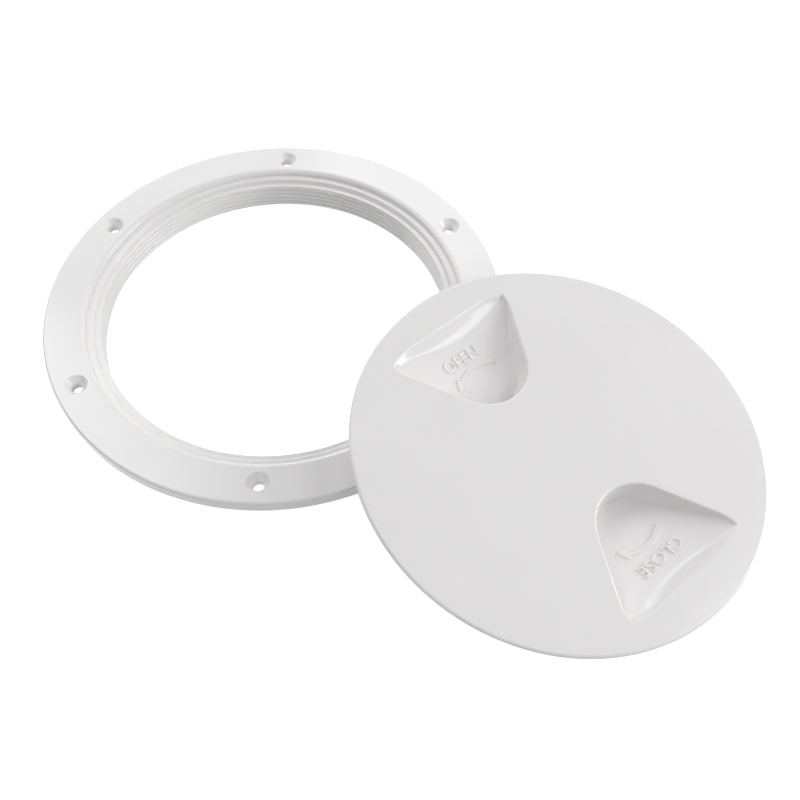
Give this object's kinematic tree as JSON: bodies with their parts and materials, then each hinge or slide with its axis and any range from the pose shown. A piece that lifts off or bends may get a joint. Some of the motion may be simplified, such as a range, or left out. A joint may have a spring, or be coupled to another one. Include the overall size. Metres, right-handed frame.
{
  "type": "deck inspection plate",
  "caption": "Round screw-in access plate for a boat deck: flanged mounting ring with countersunk holes, and a lid with finger pockets leaning on it.",
  "frame": {"origin": "on the ring's axis, in the plane of the flange's underside, which lies on the deck", "axes": "+Z out of the deck along the ring's axis, +X from the ring towards the lid that leans on it"},
  "size_m": [0.3194, 0.2, 0.0364],
  "materials": {
    "white_plastic": "glossy moulded white",
    "seal_rubber": "matte black"
  },
  "bodies": {
    "root": {"mounting_ring": "white_plastic", "screw_lid": "white_plastic", "lid_seal": "seal_rubber"}
  },
  "joints": []
}
